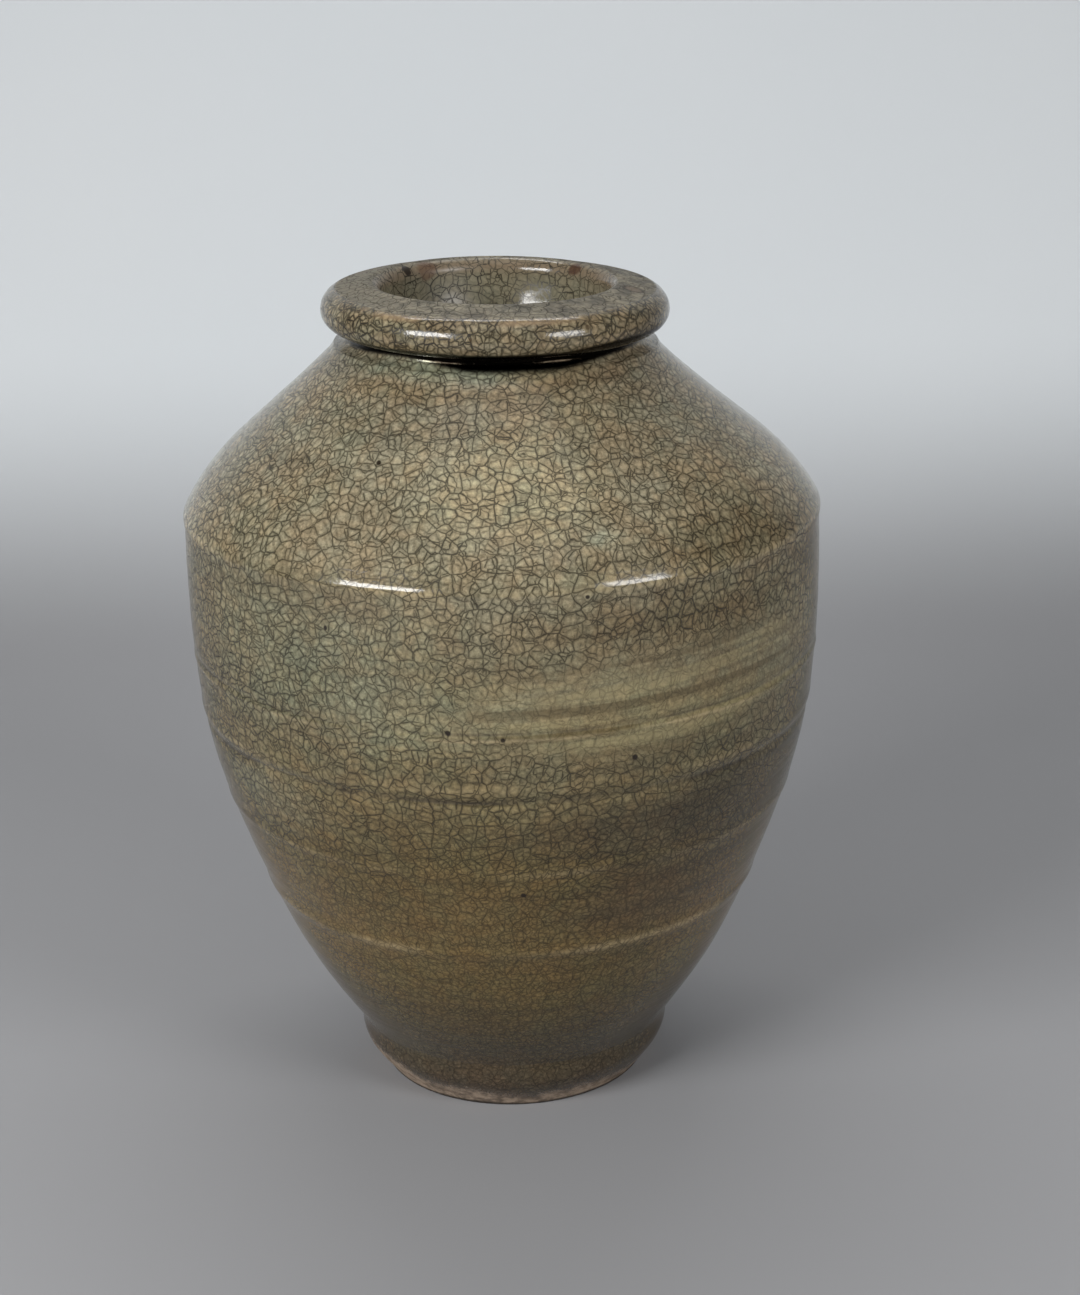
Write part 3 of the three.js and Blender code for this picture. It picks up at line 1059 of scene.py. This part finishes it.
# Neck and rolled rim
rimSizes = {
    "overhang": 6.2,
    "bulgeRise": 6.5,
    "rollWidth": 7.5,
    "topFall": 1.9,
    "lipWidth": 4.6,
    "lipHeight": 4.5,
    "fillet": 3.2,
    "undercut": 1.8,
    "throatTaper": 3.0,
    "throatDrop": 4.3,
}
lipFoot = jarSizes["height"] - rimSizes["lipHeight"]
throatHeight = collarTop - rimSizes["throatDrop"]


# A quarter of an ellipse, between two angles in degrees from its right
def quarterTurn(centre, wide, tall, first, last, count):
    turns = [math.radians(first + (last - first) * i / count) for i in range(count + 1)]
    return [centre + Vector((wide * math.cos(t), tall * math.sin(t))) for t in turns]


# The mouth narrows from its lip to the throat
def funnel(high, low, count):
    heights = [high + (low - high) * i / count for i in range(count + 1)]
    shares = [(lipFoot - height) / (lipFoot - throatHeight) for height in heights]
    radii = [jarSizes["mouthRadius"] - rimSizes["throatTaper"] * share**2 for share in shares]
    return [Vector(place) for place in zip(radii, heights)]


def collarOutline():
    outer, inner, direction = jointEnds(neckRoot)
    groove = neckRadius - rimSizes["undercut"]
    risen = outer.y + rimSizes["fillet"]
    filletBend = Vector((groove, outer.y + rimSizes["fillet"] * 0.4))
    fillet = bent(outer, filletBend, Vector((groove, risen)), count=10)
    throat = funnel(collarTop, throatHeight, count=6)
    reach = (throat[-1] - inner).length / 3
    rising = inner + direction * reach
    rounding = throat[-1] - Vector((0, reach))
    underside = curve(throat[-1], rounding, rising, inner, count=14)[1:]
    topOuter = Vector((groove, collarTop))
    topKey = keyPoint(topOuter, throat[0], Vector((0, 1)), 0)
    rootKey = keyPoint(outer, inner, direction, jarSizes["slip"])
    return [*fillet, topOuter, topKey, *throat, *underside, rootKey]


def rimOutline():
    top = jarSizes["height"]
    bulge = collarTop + rimSizes["bulgeRise"]
    rollIn = neckRadius + rimSizes["overhang"] - rimSizes["rollWidth"]
    overTall = top - rimSizes["topFall"] - bulge
    groove = neckRadius - rimSizes["undercut"]
    overhang = rimSizes["overhang"] + rimSizes["undercut"]
    under = quarterTurn(Vector((groove, bulge)), overhang, rimSizes["bulgeRise"], -90, 0, count=20)
    over = quarterTurn(Vector((rollIn, bulge)), rimSizes["rollWidth"], overTall, 0, 90, count=18)
    crest = Vector((jarSizes["mouthRadius"] + rimSizes["lipWidth"], lipFoot))
    lip = quarterTurn(crest, rimSizes["lipWidth"], rimSizes["lipHeight"], 90, 180, count=12)
    slope = [over[-1].lerp(lip[0], i / 8) for i in range(1, 8)]
    down = funnel(lipFoot, collarTop, count=10)
    key = keyPoint(under[0], down[-1], Vector((0, 1)), jarSizes["slip"])
    return [*under, *over[1:], *slope, *lip, *down[1:], key]


rimLook = {"cell": glazeLook["rimCell"], "tint": glazeLook["rimTint"], "bold": 1.25, "blotches": 1.2}
rimGlaze = glazeMaterial("rim glaze", **rimLook, neck=True, soiled=True)
neckGlaze = glazeMaterial("neck glaze", cell=glazeLook["cell"], neck=True)
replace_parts(turnPiece("neckCollar", collarOutline(), neckGlaze), "neck_collar")
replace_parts(turnPiece("rolledRim", rimOutline(), rimGlaze), "rolled_rim")
print("neck and rim made")

# Floor and backdrop in one sweep
stageSizes = {"half": 2.2, "front": -2.6, "back": 0.3, "bend": 0.9, "bendSteps": 16, "top": 2.4}
# The paper is grey at the front, and pale once its way back and up together is past the fade. This is partly
# a graded paper and partly painted light and shade: the floor painted darker and the backdrop paler than the
# lamps alone leave them
paperLook = {
    "grain": (3.0, 2.0),
    "nearColours": (screenColour(151, 151, 153), screenColour(155, 155, 157)),
    "farColours": (screenColour(226, 231, 234), screenColour(231, 234, 236)),
    "fade": (0.42, 0.84),
    "roughness": 0.9,
}


def stageSweep():
    sizes = stageSizes
    rows = [(sizes["front"], 0.0), (sizes["back"], 0.0)]
    for i in range(1, sizes["bendSteps"] + 1):
        turn = math.pi / 2 * i / sizes["bendSteps"]
        rows.append((sizes["back"] + sizes["bend"] * math.sin(turn), sizes["bend"] * (1 - math.cos(turn))))
    rows.append((sizes["back"] + sizes["bend"], sizes["top"]))
    points = [(side * sizes["half"], y, z) for y, z in rows for side in (-1, 1)]
    faces = [(2 * i, 2 * i + 1, 2 * i + 3, 2 * i + 2) for i in range(len(rows) - 1)]
    mesh = bpy.data.meshes.new("studio sweep")
    mesh.from_pydata(points, [], faces)
    for polygon in mesh.polygons:
        polygon.use_smooth = True
    sweep = bpy.data.objects.new("studio sweep", mesh)
    bpy.context.scene.collection.objects.link(sweep)
    material = bpy.data.materials.new("studio paper")
    material.use_nodes = True
    material.node_tree.nodes.clear()
    make = Maker(material.node_tree)
    place = make.node("ShaderNodeTexCoord", None, None, "Object")
    grain = make.noise(place, *paperLook["grain"])
    _, y, z = make.parts(place)
    nearPaper = make.mixColour(grain, *paperLook["nearColours"])
    farPaper = make.mixColour(grain, *paperLook["farColours"])
    # Painted shade on the floor giving way to painted light up the backdrop, across the fade
    paper = make.mixColour(make.ease(y + z, *paperLook["fade"]), nearPaper, farPaper)
    inputs = {"Base Color": paper, "Roughness": paperLook["roughness"]}
    shader = make.node("ShaderNodeBsdfPrincipled", None, inputs)
    make.node("ShaderNodeOutputMaterial", None, {"Surface": shader})
    mesh.materials.append(material)
    return sweep


stageSweep()

# Soft boxes: degrees round from the front, degrees up, distance, width, height, watts, what they light
softBoxes = {
    "left box": (-44, 21, 1.25, 0.62, 0.38, 13.2, (0, 0, 0.2)),
    "right box": (46, 20, 1.25, 0.46, 0.38, 6.4, (0, 0, 0.2)),
    "overhead": (0, 74, 1.6, 1.2, 1.2, 2.2, (0, 0, 0.2)),
    "backdrop lamp": (180, 100, 1.5, 1.8, 0.4, 15, (0, 1.1, 0.8)),
}
for name, (angle, rise, distance, wide, tall, watts, target) in softBoxes.items():
    turn, up = math.radians(angle), math.radians(rise)
    aim = Vector((math.sin(turn) * math.cos(up), -math.cos(turn) * math.cos(up), math.sin(up)))
    lamp = bpy.data.lights.new(name, "AREA")
    lamp.shape = "RECTANGLE"
    lamp.size, lamp.size_y, lamp.energy = wide, tall, watts
    box = bpy.data.objects.new(name, lamp)
    box.location = Vector(target) + aim * distance
    box.rotation_euler = aim.to_track_quat("Z", "Y").to_euler()
    bpy.context.scene.collection.objects.link(box)

airLight = {"Color": (0.86, 0.9, 0.95, 1), "Strength": 0.07}
world = bpy.data.worlds.new("studio air")
world.use_nodes = True
for name, value in airLight.items():
    world.node_tree.nodes["Background"].inputs[name].default_value = value
bpy.context.scene.world = world
bpy.context.scene.view_settings.view_transform = "Standard"

# Camera at the photo's place: metres, degrees, and millimetres for the lens and sensor
cameraPlace = {
    "away": 0.822,
    "height": 0.4375,
    "down": 19.173,
    "aside": 0.8225,
    "roll": -1.0977,
    "lens": 70.16,
    "sensor": 36,
    "nearest": 0.01,
}


def placeCamera():
    down, aside, roll = (math.radians(cameraPlace[key]) for key in ("down", "aside", "roll"))
    ahead = Vector((math.sin(aside) * math.cos(down), math.cos(aside) * math.cos(down), -math.sin(down)))
    right = Vector((math.cos(aside), -math.sin(aside), 0))
    above = right.cross(ahead)
    rolledRight = math.cos(roll) * right + math.sin(roll) * above
    rolledUp = math.cos(roll) * above - math.sin(roll) * right
    lens = bpy.data.cameras.new("camera")
    lens.lens = cameraPlace["lens"]
    lens.sensor_width = cameraPlace["sensor"]
    lens.sensor_fit = "AUTO"
    lens.clip_start = cameraPlace["nearest"]
    camera = bpy.data.objects.new("camera", lens)
    turn = Matrix((rolledRight, rolledUp, -ahead)).transposed().to_4x4()
    camera.matrix_world = Matrix.Translation((0, -cameraPlace["away"], cameraPlace["height"])) @ turn
    bpy.context.scene.collection.objects.link(camera)
    bpy.context.scene.camera = camera


placeCamera()
print("stage, light and camera made")
